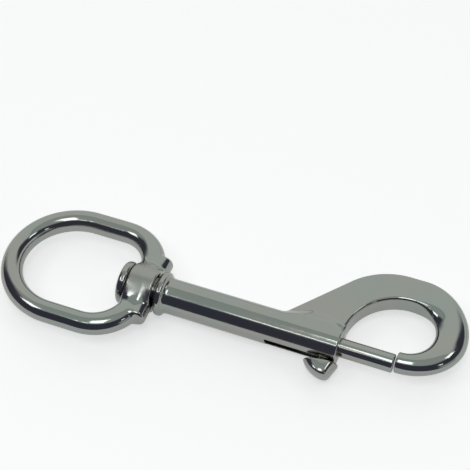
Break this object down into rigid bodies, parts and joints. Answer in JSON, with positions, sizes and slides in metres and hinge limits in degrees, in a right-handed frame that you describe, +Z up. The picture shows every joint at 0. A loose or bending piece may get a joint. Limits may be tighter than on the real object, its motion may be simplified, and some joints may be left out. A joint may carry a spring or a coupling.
{
  "type": "swivel snap hook",
  "caption": "Cast bolt snap hook: a swivelling oval eye on a peened stem, a tubular barrel, and a hooked arm closed by a sprung sliding bolt with a thumb knob.",
  "frame": {"origin": "centre of the overall box, on the ground plane that the lying hook stands on", "axes": "+X along the barrel from the eye to the hook's nose, +Y towards the hook's arm, +Z up out of the plane of the hook"},
  "size_m": [0.1208, 0.0448, 0.0114],
  "materials": {
    "nickel_plate": "bright nickel plate over a zinc casting",
    "spring_steel": "drawn wire"
  },
  "bodies": {
    "hook": {"hook_body": "nickel_plate", "bolt_spring": "spring_steel"},
    "eye": {"swivel_eye": "nickel_plate"},
    "gate": {"bolt": "nickel_plate", "thumb_knob": "nickel_plate"}
  },
  "joints": [
    {"name": "eye_swivel", "type": "hinge", "parent": "hook", "child": "eye", "pos_m": [-0.02177, -0.00398, 0.0057], "axis": [1, 0, 0], "continuous": true},
    {"name": "bolt_slide", "type": "slide", "parent": "hook", "child": "gate", "axis": [-1, 0, 0], "range_m": [0, 0.0138], "stiffness_N_per_m": 500, "springref_m": -0.008, "deforming": ["bolt_spring"]}
  ]
}
